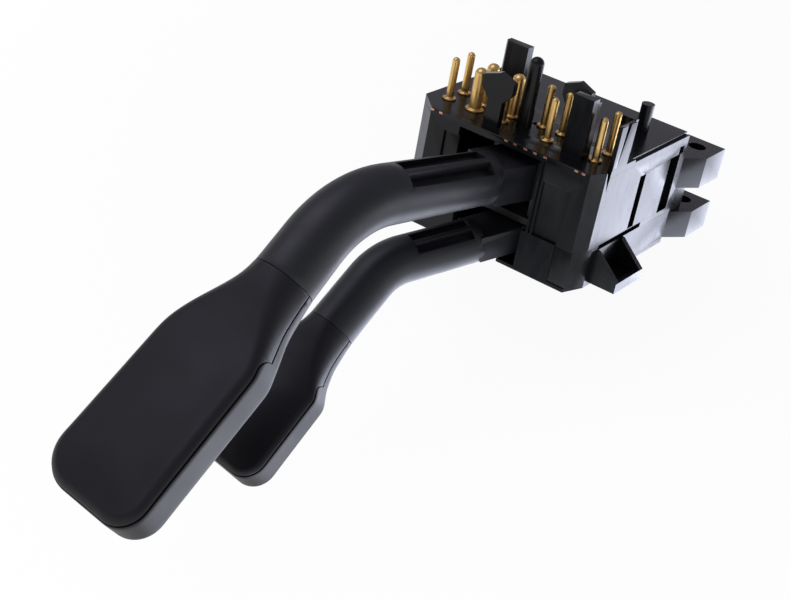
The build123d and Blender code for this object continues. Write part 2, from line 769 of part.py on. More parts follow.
def build_arm(stalk):
    """Round bent arm with a flat root bar, a cored top and a spigot for the grip."""
    bend_length = stalk.bend_radius * stalk.turn
    half_bar = stalk.bar_width / 2
    spigot_radius = 5.2 * stalk.scale
    with BuildPart() as arm:
        for s in (stalk.shoulder, stalk.straight):
            with BuildSketch(stalk.plane(s)):
                Circle(stalk.radius(s))
        loft()
        for step in range(arm_stations):
            s = stalk.straight + bend_length * step / (arm_stations - 1)
            with BuildSketch(stalk.plane(s)):
                Circle(stalk.radius(s))
        loft()
        for s in (stalk.straight + bend_length, stalk.length):
            with BuildSketch(stalk.plane(s)):
                Circle(stalk.radius(s))
        loft()
        with BuildSketch(stalk.plane(stalk.length)):
            Circle(spigot_radius)
        extrude(amount=spigot_length * stalk.scale)
        bar_start = stalk.plane(-bar_end_depth)
        with BuildSketch(bar_start):
            Rectangle(stalk.bar_width, stalk.bar_height)
        extrude(amount=bar_end_depth + stalk.shoulder + 1.0)
        ends = arm.faces().sort_by(Axis(tuple(stalk.root), tuple(stalk.inner_way)))[0]
        chamfer(ends.edges(), bar_chamfer)
        with Locations(Plane(origin=stalk.tilt_centre, z_dir=stalk.side)):
            Cylinder(tilt_radius(stalk) + running_gap, 2 * half_bar + 4, mode=Mode.SUBTRACT)
        pocket_from = stalk.shoulder + pocket_lead * stalk.scale
        pocket_start = stalk.plane(pocket_from)
        along = Axis((0, 0, 0), tuple(pocket_start.z_dir))
        pocket_plane = Plane(origin=pocket_start.origin, z_dir=pocket_start.z_dir,
                             x_dir=pocket_start.x_dir.rotate(along, pocket_turn))
        pocket_length = stalk.straight - pocket_margin * stalk.scale - pocket_from
        pocket_half = pocket_width * stalk.scale / 2
        rib_half = pocket_rib * stalk.scale / 2
        pocket_floor = stalk.root_radius - pocket_depth * stalk.scale
        for side in (-1, 1):
            with BuildSketch(pocket_plane):
                with Locations((side * (pocket_half + rib_half) / 2, pocket_floor + 5)):
                    Rectangle(pocket_half - rib_half, 10)
            extrude(amount=pocket_length, mode=Mode.SUBTRACT)
        with BuildSketch(return_plane(stalk)):
            Circle(return_radius(stalk) + running_gap)
        extrude(amount=return_bore, mode=Mode.SUBTRACT)
    save(arm, f"{stalk.name}_arm")


pocket_turn = -22.0
pocket_lead = 3.5
pocket_margin = 2.6
pocket_width = 8.6
pocket_rib = 1.6
pocket_depth = 3.0
return_bore = 7.0
return_length = 4.2
return_reach = 0.9
return_travel = 0.5
return_point = 0.6
return_cup_wall = 0.4


def return_plane(stalk):
    """Plane at the inner end of the root bar, on the return plunger's axis."""
    plane = stalk.plane(-bar_end_depth)
    lift = plane.y_dir if plane.y_dir.Z > 0 else plane.y_dir * -1
    return Plane(origin=plane.origin + lift * return_offset(stalk), x_dir=plane.x_dir,
                 z_dir=plane.z_dir)


def build_return(stalk):
    """Sprung plunger in the root bar that brings the stalk back level."""
    radius = return_radius(stalk)
    bore_radius = radius - return_cup_wall
    shoulder = return_plane(stalk).offset(return_point - return_reach)
    with BuildPart() as plunger:
        with BuildSketch(shoulder):
            Circle(radius)
        extrude(amount=return_length)
        with BuildSketch(shoulder):
            Circle(radius)
        extrude(amount=-return_point, taper=40)
        with BuildSketch(shoulder.offset(return_cup_wall)):
            Circle(bore_radius)
        extrude(amount=return_length, mode=Mode.SUBTRACT)
    save(plunger, f"{stalk.name}_return_plunger")
    spring_start = return_cup_wall + return_travel + running_gap
    spring_end = return_bore + return_reach - return_point
    with BuildPart() as spring:
        with BuildSketch(shoulder.offset(spring_start)):
            Circle(bore_radius - running_gap)
            Circle(bore_radius - running_gap - spring_wall / 2, mode=Mode.SUBTRACT)
        extrude(amount=spring_end - spring_start)
    save(spring, f"{stalk.name}_return_spring")


# Grip outline, in the grip's own axes at full scale: sideways, along
grip_thickness = 12.4
grip_lid = 2.0
grip_wall = 2.2
grip_neck_end = 24.0
grip_step = (19.0, 22.7)
grip_edge_fillet = 2.6
neck_tuck = 0.06
neck_overlap = 1.5
grip_left_corner = 9.0
grip_right_corner = 7.0


def grip_plane(stalk):
    """Plane at the seam: x to the side, y along the grip, z to its back."""
    along = stalk.outer_way
    side = Vector(1, 0, 0)
    side = (side - along * side.dot(along)).normalized()
    return Plane(origin=stalk.plane(stalk.length).origin, x_dir=side, z_dir=side.cross(along))


def grip_outline(stalk, inset=0.0):
    """Paddle face, wider to the left, with round outer corners."""
    k = stalk.scale
    corners = grip_corners(stalk)
    with BuildLine() as outline:
        Polyline(*[(x * k, y * k) for x, y in corners], close=True)
    make_face(outline.edges())
    fillet(vertices().sort_by(Axis.Y)[-1], grip_right_corner * k)
    fillet(vertices().sort_by(Axis.X)[0], grip_left_corner * k)
    if inset > 0:
        offset(amount=-inset, kind=Kind.INTERSECTION)


def grip_corners(stalk):
    """Corner points of the paddle at full scale."""
    if stalk is upper:
        return ((-17.6, grip_neck_end), (-20.7, 70.2), (12.1, 71.4), (13.2, grip_neck_end))
    return ((-17.6, grip_neck_end), (-20.0, 59.0), (16.6, 60.6), (15.6, grip_neck_end))


def neck_stations(stalk):
    """Neck sections at full scale: place along, left edge, right edge, thickness, corner."""
    left_edge, right_edge = grip_corners(stalk)[0][0], grip_corners(stalk)[-1][0]
    root = stalk.seam_radius / stalk.scale
    middle = ((5.0, 0.97, -0.2, 0.2, 0.8), (11.5, 0.86, -3.6, 1.0, 0.66), (18.0, 0.76, -7.0, 2.9, 0.42))
    yield (0.0, -root, root, 2 * root, root * 0.94)
    for along, flat, left_flare, right_flare, corner in middle:
        yield (along, -root + left_flare, root + right_flare, 2 * root * flat, root * corner)
    for along in (grip_neck_end, grip_neck_end + neck_overlap):
        yield (along, left_edge + neck_tuck, right_edge - neck_tuck, grip_thickness - 2 * neck_tuck,
               grip_edge_fillet)


def build_grip(stalk):
    """Front lid and rear tray of the grip, clamped round the arm's spigot."""
    k = stalk.scale
    plane = grip_plane(stalk)
    half = grip_thickness * k / 2
    whole = grip_body(stalk, plane)
    lid_profile = grip_split(stalk)
    with BuildPart() as lid:
        add(whole)
        add(lid_profile, mode=Mode.INTERSECT)
    save(lid, f"{stalk.name}_front_grip")
    with BuildPart() as tray:
        add(whole)
        add(lid_profile, mode=Mode.SUBTRACT)
        with BuildSketch(plane.offset(-half + grip_lid * k - 0.01)):
            grip_outline(stalk, grip_wall * k)
            with Locations((0, 0)):
                Rectangle(200, 2 * (grip_step[1] + 2) * k, mode=Mode.SUBTRACT)
        extrude(amount=2 * half - grip_lid * k - grip_wall * k, mode=Mode.SUBTRACT)
        screw_disc(stalk, plane, screw_radius * k + side_gap, 0, 3 * half, Mode.SUBTRACT)
        screw_disc(stalk, plane, screw_head_radius * k + side_gap, half + 1.0, 3 * half,
                   Mode.SUBTRACT)
    save(tray, f"{stalk.name}_rear_grip")
    with BuildPart() as screw:
        screw_disc(stalk, plane, screw_radius * k, 5.2 * k + 0.1, half + 1.1, Mode.ADD)
        screw_disc(stalk, plane, screw_head_radius * k, half + 1.1, half + 2.0, Mode.ADD)
    save(screw, f"{stalk.name}_grip_screw")


def screw_disc(stalk, plane, radius, start, end, mode):
    """Round stretch on the grip screw's line, from the grip's middle towards its back."""
    with BuildSketch(plane.offset(start)) as profile:
        with Locations((0, grip_screw_place * stalk.scale)):
            Circle(radius)
    extrude(profile.sketch, amount=end - start, mode=mode)


def grip_body(stalk, plane):
    """Whole outer shape of the grip: a lofted neck and a flat paddle."""
    k = stalk.scale
    with BuildPart(mode=Mode.PRIVATE) as body:
        with BuildSketch(plane):
            grip_outline(stalk)
        extrude(amount=grip_thickness * k / 2, both=True)
        neck_end = plane.from_local_coords((0, grip_neck_end * k, 0))
        rims = body.faces().filter_by(Axis((0, 0, 0), tuple(plane.z_dir))).edges()
        rounded = [e for e in rims if abs((e @ 0.5 - neck_end).dot(plane.y_dir)) > 0.1]
        fillet(rounded, grip_edge_fillet * k)
        for along, left_edge, right_edge, thickness, corner in neck_stations(stalk):
            middle = plane.from_local_coords(((left_edge + right_edge) / 2 * k, along * k, 0))
            with BuildSketch(Plane(origin=middle, x_dir=plane.x_dir, z_dir=plane.y_dir)):
                RectangleRounded((right_edge - left_edge) * k, thickness * k, corner * k)
        loft()
        with BuildSketch(stalk.plane(stalk.length)):
            Circle(5.2 * k + running_gap)
        extrude(amount=spigot_length * k + running_gap, mode=Mode.SUBTRACT)
    return body.part


def grip_split(stalk):
    """Solid that covers the front lid's share of the grip, with its side step."""
    k = stalk.scale
    plane = grip_plane(stalk)
    half = grip_thickness * k / 2
    side_plane = Plane(origin=plane.origin, x_dir=plane.y_dir, z_dir=plane.x_dir)
    back = 1 if side_plane.y_dir.dot(plane.z_dir) > 0 else -1
    lid_depth = -half + grip_lid * k
    with BuildPart(mode=Mode.PRIVATE) as split:
        with BuildSketch(side_plane):
            with BuildLine():
                Polyline(
                    (-5, 0),
                    (grip_step[0] * k, 0),
                    (grip_step[1] * k, back * lid_depth),
                    (100, back * lid_depth),
                    (100, back * -30),
                    (-5, back * -30),
                    close=True,
                )
            make_face()
        extrude(amount=60, both=True)
    return split.part


for stalk in stalks:
    build_carrier(stalk)
    build_pins(stalk)
    build_detent(stalk)
    build_contacts(stalk)
    build_arm(stalk)
    build_return(stalk)
    build_grip(stalk)
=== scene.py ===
"""Looks of the combination stalk switch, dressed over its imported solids."""
import json
from math import radians

import bmesh
import bpy
import numpy as np
from bpy.props import FloatProperty, FloatVectorProperty, IntProperty, PointerProperty
from mathutils import Matrix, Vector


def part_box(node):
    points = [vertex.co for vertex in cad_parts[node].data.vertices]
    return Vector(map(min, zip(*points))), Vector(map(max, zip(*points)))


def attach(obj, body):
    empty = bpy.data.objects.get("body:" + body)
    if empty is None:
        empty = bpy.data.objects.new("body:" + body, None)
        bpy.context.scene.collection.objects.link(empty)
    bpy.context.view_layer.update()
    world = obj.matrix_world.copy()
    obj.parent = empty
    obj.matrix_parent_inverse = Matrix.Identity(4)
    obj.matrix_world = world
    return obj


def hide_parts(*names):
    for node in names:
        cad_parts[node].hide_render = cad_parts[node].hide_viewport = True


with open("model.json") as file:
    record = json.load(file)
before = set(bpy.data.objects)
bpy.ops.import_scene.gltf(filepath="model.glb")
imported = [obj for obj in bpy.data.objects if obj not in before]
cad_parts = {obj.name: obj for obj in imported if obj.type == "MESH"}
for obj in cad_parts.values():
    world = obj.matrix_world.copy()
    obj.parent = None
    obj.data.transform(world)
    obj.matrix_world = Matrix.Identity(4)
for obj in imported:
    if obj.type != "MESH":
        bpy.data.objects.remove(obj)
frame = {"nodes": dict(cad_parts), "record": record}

bl_info = {
    "name": "Stalk Switch Looks",
    "version": (1, 0, 0),
    "blender": (4, 5, 0),
    "location": "View3D > Sidebar > Stalk Switch",
    "description": "Finishes, coil springs, terminals and stage for a combination stalk switch",
    "category": "Object",
}

MM = 0.001
BODY_OF = {node: body for body, nodes in frame["record"]["behaviour"]["bodies"].items()
           for node in nodes}
SLOT_OF = {piece["node"]: piece["material_slot"] for piece in frame["record"]["subparts"]}
STALKS = ("upper", "lower")
# The finishes made so far, by slot
MADE = {}

# Edges that turn by more than this stay sharp, in degrees
SHARP_DEG = 40.0
# Points nearer than these are merged, in mm: on a copied solid, on a grip's shell, along a sliver
WELD_MM, SHELL_WELD_MM, SLIVER_MM = 0.002, 0.004, 0.001
EDGE_SEGMENTS = 2
# Range of a noise value that covers most of a surface
NOISE_LOW, NOISE_HIGH = 0.3, 0.7
# Places of the Mix node's colour sockets, whose names its other sockets share
COLOUR_A, COLOUR_B, COLOUR_OUT = 6, 7, 2
TINY = 1e-6

# Sides and dome steps of a terminal, and how near in plan the points of one terminal are, in mm
PIN_SIDES, DOME_STEPS, PIN_REACH = 40, 12, 5.6
# Steps along a coil's turn, sides of its wire, how much its ends close up, and its thickest wire
COIL_STEPS, WIRE_SIDES, CLOSING, THICKEST_WIRE = 22, 10, 0.35, 0.22
# Height share past which a coil's axis counts as upright
UPRIGHT = 0.9


def linear(code):
    """Linear RGB of an sRGB hex colour: each channel by the sRGB curve."""
    channels = [int(code[i:i + 2], 16) / 255 for i in (1, 3, 5)]
    return [c / 12.92 if c <= 0.04045 else ((c + 0.055) / 1.055) ** 2.4 for c in channels]


def colour(name, code, text):
    """A colour property with a hex default."""
    return FloatVectorProperty(name=name, description=text, subtype="COLOR", size=3,
                               min=0.0, max=1.0, default=linear(code))


def length(name, size, text):
    """A length property in millimetres."""
    return FloatProperty(name=name, description=text, default=size, min=0.0, soft_max=50.0)


class FinishProperties(bpy.types.PropertyGroup):
    """Colours and surface sizes of the switch's finishes."""

    housing: colour("Housing", "#0d0e10", "Glass-filled polyester of the housing and connector plate")
    arm: colour("Arms", "#17181b", "Polyamide of the two bent arms")
    grip: colour("Grips", "#0e0d12", "Soft-touch coat of the paddles")
    nylon: colour("Inner mouldings", "#141416", "Black acetal of the carriers and sliders")
    brass: colour("Terminals", "#e0bd7c", "Gold flash over the brass terminals")
    copper: colour("Strips", "#d29a86", "Bare bronze of the lead frame and contact strips")
    steel: colour("Steel", "#8f9196", "Plain steel of pins, springs and screws")
    housing_edge: length("Housing edge", 0.22, "Radius that the mould leaves on housing edges, in mm")
    arm_edge: length("Arm edge", 0.35, "Radius on the edges of the bent arms, in mm")
    fine_edge: length("Fine edge", 0.08, "Radius on the edges of the small pieces, in mm")
    grain: length("Grain", 0.45, "Size of the spark-eroded grain on the plastic, in mm")


class TerminalProperties(bpy.types.PropertyGroup):
    """Turned sizes of the terminals."""

    height: length("Height", 12.3, "From the plate to the tip, in mm")
    tail: length("Tail", 3.0, "From the plate's face down to the pin's lower end, in mm")
    small_radius: length("Thin radius", 1.065, "Radius of a thin terminal, in mm")
    small_flange: length("Thin flange", 1.9, "Flange radius of a thin terminal, in mm")
    large_radius: length("Thick radius", 1.75, "Radius of a thick terminal, in mm")
    large_flange: length("Thick flange", 2.6, "Flange radius of a thick terminal, in mm")
    flange_height: length("Flange height", 0.6, "Height of the flange, in mm")


class SpringProperties(bpy.types.PropertyGroup):
    """Wire and turns of the coil springs."""

    turns: IntProperty(name="Turns", description="Coils along one spring", default=7, min=2, max=30)
    wire: length("Wire", 0.28, "Wire diameter of the springs, in mm")


class GripProperties(bpy.types.PropertyGroup):
    """Rounding and seam of the grips, at the upper grip's scale."""

    dome: length("Dome", 1.3, "Rise of the front face over its rim, in mm")
    front_rim: length("Front rim", 3.2, "Radius round the front face, in mm")
    back_rim: length("Back rim", 2.6, "Radius round the back face, in mm")
    left_corner: length("Left corner", 10.0, "Corner radius at the end, to the left, in mm")
    right_corner: length("Right corner", 8.0, "Corner radius at the end, to the right, in mm")
    fan: length("Fan", 16.0, "Distance of the last spine point from the end, in mm")
    lid: length("Lid", 1.9, "Depth of the lid's edge below the front face, in mm")
    seam_gap: length("Seam gap", 0.6, "Width of the seam between lid and tray, in mm")
    lip: length("Lip", 1.2, "Depth that the seam edges turn in by, in mm")


class StageProperties(bpy.types.PropertyGroup):
    """Camera, table and light."""

    lens: FloatProperty(name="Lens", description="Focal length on a 36 mm sensor, in mm",
                        default=69.4, min=20.0, max=200.0, unit="CAMERA")
    floor_radius: FloatProperty(name="Floor radius", description="Radius of the round table",
                                default=0.42, min=0.2, max=2.0, subtype="DISTANCE")
    room: FloatProperty(name="Room below", default=0.0125, min=0.0002, max=0.1, subtype="DISTANCE",
                        description="Room under the object, so the lower stalk can tilt down")
    table_light: FloatProperty(name="Side table light", default=6.0, min=0.0, max=20.0,
                               description="Brightness of the lit table parts beside the housing")
    front_light: FloatProperty(name="Front table light", default=3.7, min=0.0, max=20.0,
                               description="Brightness of the lit table parts by the arms and grips")
    box_light: FloatProperty(name="Soft box", description="Power of the high soft box",
                             default=2.4, min=0.0, max=60.0, unit="POWER")
    ceiling: FloatProperty(name="Ceiling", description="Brightness of the backdrop overhead",
                           default=0.38, min=0.0, max=2.0)
    shadow: FloatProperty(name="Shadow", description="Share of the object's shadow on the table",
                          default=0.06, min=0.0, max=1.0, subtype="FACTOR")
    mirrored: FloatProperty(name="Mirrored table", default=0.2, min=0.0, max=1.0, subtype="FACTOR",
                            description="Brightness of the table near the object, as mirrors show it")


def new_object(name, data):
    """A new object in the scene, at the origin."""
    obj = bpy.data.objects.new(name, data)
    bpy.context.scene.collection.objects.link(obj)
    return obj


def add_node(tree, kind, settings=None, links=None):
    """Adds one node, with its socket values or attributes and its incoming links."""
    node = tree.nodes.new(kind)
    for key, value in (settings or {}).items():
        if isinstance(key, int) or key in node.inputs:
            node.inputs[key].default_value = value
        else:
            setattr(node, key, value)
    for key, source in (links or {}).items():
        tree.links.new(source, node.inputs[key])
    return node


def new_material(name, base, roughness, metallic=0.0, ior=None):
    """A material with one principled shader; returns it with its tree and shader."""
    material = bpy.data.materials.new(name)
    material.use_nodes = True
    tree = material.node_tree
    shader = tree.nodes["Principled BSDF"]
    shader.inputs["Base Color"].default_value = (*base, 1.0)
    shader.inputs["Roughness"].default_value = roughness
    shader.inputs["Metallic"].default_value = metallic
    if ior is not None:
        shader.inputs["IOR"].default_value = ior
    return material, tree, shader


def surface_noise(tree, size_mm, detail, stretch=(1.0, 1.0, 1.0)):
    """Noise on object coordinates whose cells are about size_mm across."""
    place = add_node(tree, "ShaderNodeTexCoord")
    turned = add_node(tree, "ShaderNodeMapping", {"Scale": stretch},
                      {"Vector": place.outputs["Object"]})
    return add_node(tree, "ShaderNodeTexNoise", {"Scale": 1.0 / (size_mm * MM), "Detail": detail},
                    {"Vector": turned.outputs["Vector"]})


def roughened(tree, shader, source, low, high):
    """Roughness that follows a noise value between two levels."""
    level = add_node(tree, "ShaderNodeMapRange",
                     {"From Min": NOISE_LOW, "From Max": NOISE_HIGH, "To Min": low, "To Max": high},
                     {"Value": source})
    tree.links.new(level.outputs["Result"], shader.inputs["Roughness"])


def tinted(tree, shader, factor, base, tone):
    """Base colour that drifts by a noise value from itself to itself times tone, per channel."""
    other = [c * t for c, t in zip(base, tone)]
    mix = add_node(tree, "ShaderNodeMix",
                   {"data_type": "RGBA", COLOUR_A: (*base, 1.0), COLOUR_B: (*other, 1.0)}, {0: factor})
    tree.links.new(mix.outputs[COLOUR_OUT], shader.inputs["Base Color"])


def bump(tree, shader, height, depth_mm, strength):
    """Surface relief of a height value, depth_mm deep."""
    relief = add_node(tree, "ShaderNodeBump", {"Strength": strength, "Distance": depth_mm * MM},
                      {"Height": height})
    tree.links.new(relief.outputs["Normal"], shader.inputs["Normal"])


def glass_filled_polyester(finish):
    """Black glass-filled polyester, injection moulded: faces mirror the light softly and patchily,
    with upright flow streaks in the gloss."""
    base = list(finish.housing)
    material, tree, shader = new_material("glass_filled_polyester", base, roughness=0.24, ior=1.32)
    patches = surface_noise(tree, size_mm=7.0, detail=3.0)
    streaks = surface_noise(tree, size_mm=2.2, detail=2.0, stretch=(1.0, 1.0, 0.35))
    grain = surface_noise(tree, finish.grain, detail=1.0)
    tinted(tree, shader, patches.outputs["Fac"], base, tone=(1.3, 1.3, 1.3))
    roughened(tree, shader, streaks.outputs["Fac"], low=0.2, high=0.28)
    bump(tree, shader, grain.outputs["Fac"], depth_mm=0.004, strength=0.4)
    return material


def satin_polyamide(finish):
    """Black polyamide with a fine eroded grain: a broad, soft sheen."""
    base = list(finish.arm)
    material, tree, shader = new_material("satin_polyamide", base, roughness=0.44, ior=1.44)
    patches = surface_noise(tree, size_mm=9.0, detail=2.0)
    grain = surface_noise(tree, finish.grain, detail=2.0)
    tinted(tree, shader, patches.outputs["Fac"], base, tone=(1.2, 1.2, 1.2))
    roughened(tree, shader, patches.outputs["Fac"], low=0.42, high=0.5)
    bump(tree, shader, grain.outputs["Fac"], depth_mm=0.012, strength=0.6)
    return material


def soft_touch_plastic(finish):
    """Black plastic with a soft-touch coat: near black, with a faint wide sheen."""
    base = list(finish.grip)
    material, tree, shader = new_material("soft_touch_plastic", base, roughness=0.5, ior=1.38)
    patches = surface_noise(tree, size_mm=14.0, detail=3.0)
    grain = surface_noise(tree, size_mm=finish.grain * 0.8, detail=2.0)
    tinted(tree, shader, patches.outputs["Fac"], base, tone=(1.3, 1.3, 1.3))
    roughened(tree, shader, patches.outputs["Fac"], low=0.44, high=0.54)
    bump(tree, shader, grain.outputs["Fac"], depth_mm=0.01, strength=0.5)
    return material


def black_acetal(finish):
    """Black acetal, moulded: waxy, with a low gloss."""
    base = list(finish.nylon)
    material, tree, shader = new_material("black_acetal", base, roughness=0.4, ior=1.48)
    patches = surface_noise(tree, size_mm=5.0, detail=2.0)
    grain = surface_noise(tree, size_mm=0.6, detail=1.0)
    tinted(tree, shader, patches.outputs["Fac"], base, tone=(0.86, 0.86, 0.86))
    bump(tree, shader, grain.outputs["Fac"], depth_mm=0.005, strength=0.4)
    return material


def turned_metal(name, base, roughness, tool_mark_mm):
    """Turned or drawn metal: fine marks across its height break up the reflections, and warmer,
    duller stains lie over it."""
    material, tree, shader = new_material(name, base, roughness, metallic=1.0)
    marks = surface_noise(tree, tool_mark_mm, detail=2.0, stretch=(0.2, 0.2, 3.0))
    stains = surface_noise(tree, size_mm=2.5, detail=3.0)
    tinted(tree, shader, stains.outputs["Fac"], base, tone=(0.86, 0.78, 0.66))
    roughened(tree, shader, stains.outputs["Fac"], low=roughness * 0.8, high=roughness * 1.4)
    bump(tree, shader, marks.outputs["Fac"], depth_mm=0.001, strength=0.3)
    return material


def finishes(finish):
    """One material for each slot of the record."""
    return {
        "housing_black": glass_filled_polyester(finish),
        "arm_black": satin_polyamide(finish),
        "grip_black": soft_touch_plastic(finish),
        "inner_plastic": black_acetal(finish),
        "terminal_brass": turned_metal("gold_flashed_brass", list(finish.brass),
                                       roughness=0.3, tool_mark_mm=0.5),
        "copper_strip": turned_metal("rolled_bronze", list(finish.copper),
                                     roughness=0.32, tool_mark_mm=0.8),
        "steel": turned_metal("drawn_steel", list(finish.steel),
                              roughness=0.38, tool_mark_mm=0.4),
    }


def slot_material(slot):
    """The finish of a slot, made on first use."""
    if slot not in MADE:
        MADE.update(finishes(bpy.context.scene.switch_finish))
    return MADE[slot]


def finish_piece(obj, node):
    """Gives a piece its node's body and the material of its node's slot, and hides the node in its
    place.
    """
    obj.data.materials.clear()
    obj.data.materials.append(slot_material(SLOT_OF[node]))
    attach(obj, BODY_OF[node])
    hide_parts(node)


def moulded_copy(node, edge_mm, smooth_deg=32.0, flat_deg=0.6):
    """Dresses a node in its own surface, with facets that turn by less than flat_deg merged and
    edges that turn by more than smooth_deg rounded as a mould leaves them."""
    mesh = frame["nodes"][node].data.copy()
    mesh.name = f"{node}_skin"
    work = bmesh.new()
    work.from_mesh(mesh)
    bmesh.ops.remove_doubles(work, verts=work.verts, dist=WELD_MM * MM)
    bmesh.ops.dissolve_limit(work, angle_limit=radians(flat_deg), verts=work.verts,
                             edges=work.edges, delimit=set())
    work.to_mesh(mesh)
    work.free()
    mesh.shade_smooth()
    mesh.set_sharp_from_angle(angle=radians(smooth_deg))
    obj = new_object(f"{node}_skin", mesh)
    if edge_mm > 0:
        edge = obj.modifiers.new("edge", "BEVEL")
        edge.width = edge_mm * MM
        edge.segments = EDGE_SEGMENTS
        edge.limit_method = "ANGLE"
        edge.angle_limit = radians(smooth_deg)
        edge.harden_normals = True
        edge.miter_outer = "MITER_ARC"
    finish_piece(obj, node)


def grid_mesh(name, points, close_around=True, caps=True):
    """Mesh of a grid of points (rows along, columns around): a quad between each four neighbours,
    and one face over each end where caps is set."""
    rows, columns, _ = points.shape
    index = np.arange(rows * columns).reshape(rows, columns)
    here = index[:-1, :]
    ahead = index[1:, :]
    right = np.roll(here, -1, axis=1)
    far = np.roll(ahead, -1, axis=1)
    quads = np.stack([here, right, far, ahead], axis=-1)
    if not close_around:
        quads = quads[:, :-1]
    faces = [tuple(quad) for quad in quads.reshape(-1, 4).tolist()]
    if caps:
        faces.append(tuple(index[0, ::-1].tolist()))
        faces.append(tuple(index[-1, :].tolist()))
    mesh = bpy.data.meshes.new(name)
    mesh.from_pydata(points.reshape(-1, 3).tolist(), [], faces)
    mesh.validate()
    mesh.shade_smooth()
    mesh.set_sharp_from_angle(angle=radians(SHARP_DEG))
    return mesh


def revolved(profile, centre):
    """Points of a profile (radius, height) in mm, carried round an upright axis through centre:
    centre plus radius times the cosine and sine of the angle, at that height, in metres."""
    angles = np.linspace(0, 2 * np.pi, PIN_SIDES, endpoint=False)
    radius, height = np.asarray(profile, float).T
    x = centre[0] + radius[:, None] * np.cos(angles)
    y = centre[1] + radius[:, None] * np.sin(angles)
    z = np.broadcast_to(height[:, None], x.shape)
    return np.stack([x, y, z], axis=-1) * MM


def terminal_profile(sizes, radius, flange):
    """Radius and height of a turned terminal in mm, from its tail to its tip, which is a quarter
    circle: radius times cosine outwards, radius times sine upwards."""
    edge, tip = 0.12, 0.01
    turn = np.linspace(0, np.pi / 2, DOME_STEPS)
    dome = np.stack([radius * np.cos(turn), sizes.height - radius + radius * np.sin(turn)], axis=-1)
    dome[-1, 0] = tip
    foot = [(radius - edge, -sizes.tail), (radius, -sizes.tail + edge), (radius, 0.0),
            (flange - edge, 0.0), (flange, edge), (flange, sizes.flange_height - edge),
            (flange - edge, sizes.flange_height), (radius + edge, sizes.flange_height),
            (radius, sizes.flange_height + edge)]
    return np.concatenate([np.array(foot), dome])


def node_points(node):
    """Corner points of a node's mesh, in metres."""
    mesh = frame["nodes"][node].data
    points = np.empty(len(mesh.vertices) * 3)
    mesh.vertices.foreach_get("co", points)
    return points.reshape(-1, 3)


def island_centres(node):
    """Centre in plan of each separate solid of a node, in mm."""
    plan = node_points(node)[:, :2] / MM
    centres = []
    while len(plan):
        close = np.hypot(*(plan - plan[0]).T) < PIN_REACH
        group = plan[close]
        centres.append(tuple((group.min(0) + group.max(0)) / 2))
        plan = plan[~close]
    return centres


def joined(name, meshes):
    """One object from several meshes."""
    work = bmesh.new()
    for mesh in meshes:
        work.from_mesh(mesh)
        bpy.data.meshes.remove(mesh)
    whole = bpy.data.meshes.new(name)
    work.to_mesh(whole)
    work.free()
    whole.shade_smooth()
    whole.set_sharp_from_angle(angle=radians(SHARP_DEG))
    return new_object(name, whole)


def spring_line(node):
    """Ends and radius of a spring's tube, in mm, from its mesh: the longest axis of its points."""
    points = node_points(node) / MM
    middle = (points.min(0) + points.max(0)) / 2
    offset = points - middle
    _, _, axes = np.linalg.svd(offset - offset.mean(0), full_matrices=False)
    along = offset @ axes[0]
    across = np.linalg.norm(offset - along[:, None] * axes[0], axis=1)
    return middle + axes[0] * along.min(), middle + axes[0] * along.max(), across.max()


def coil_points(start, end, radius, wire_radius, turns):
    """Surface of a coil from sizes in mm: a wire circle carried along a helix from start to end.

    The helix rises evenly but for a cosine's share, which closes up its first and last turns.
    """
    length_mm = np.linalg.norm(end - start)
    axis = (end - start) / length_mm
    side = np.cross(axis, (0.0, 0.0, 1.0) if abs(axis[2]) < UPRIGHT else (1.0, 0.0, 0.0))
    side /= np.linalg.norm(side)
    other = np.cross(axis, side)
    steps = np.linspace(0, 1, turns * COIL_STEPS + 1)
    closed = 0.5 - 0.5 * np.cos(np.pi * steps)
    rise = wire_radius + (length_mm - 2 * wire_radius) * ((1 - CLOSING) * steps + CLOSING * closed)
    angle = 2 * np.pi * turns * steps
    out = np.cos(angle)[:, None] * side + np.sin(angle)[:, None] * other
    line = start + rise[:, None] * axis + (radius - wire_radius) * out
    tangent = np.gradient(line, axis=0)
    tangent /= np.linalg.norm(tangent, axis=1)[:, None]
    binormal = np.cross(tangent, out)
    around = np.linspace(0, 2 * np.pi, WIRE_SIDES, endpoint=False)
    ring = (np.cos(around)[None, :, None] * out[:, None, :]
            + np.sin(around)[None, :, None] * binormal[:, None, :])
    return (line[:, None, :] + wire_radius * ring) * MM


def heading(skew, rise):
    """Unit vector that leaves the housing's front, turned to the left and raised, in degrees."""
    skew, rise = radians(skew), radians(rise)
    return np.array((-np.sin(skew) * np.cos(rise), -np.cos(skew) * np.cos(rise), np.sin(rise)))


# Centre line of each arm, in mm and degrees: root, heading there, straight run, bend radius,
# heading after the bend, and the run from there to the grip
ARM_LINES = {
    "upper": {"root": (1.7, -26.6, -10.4), "way": (11.3, 2.9), "straight": 42.3,
              "bend": 31.7, "out": (4.2, -42.0), "tail": 11.6},
    "lower": {"root": (2.0, -26.6, -28.7), "way": (22.4, -8.5), "straight": 27.2,
              "bend": 18.7, "out": (5.9, -40.7), "tail": 16.2},
}
# Each paddle at the upper one's scale, in mm: neck radius, distance of its left and right outline
# from the middle at the last station and at the end, and how far out the end's two corners are
PADDLES = {
    "upper": {"scale": 1.0, "neck": 8.55, "left": (17.6, 20.7), "right": (13.2, 12.1),
              "ends": (70.2, 71.4)},
    "lower": {"scale": 0.76, "neck": 8.947, "left": (17.6, 20.0), "right": (15.6, 16.6),
              "ends": (59.0, 60.6)},
}
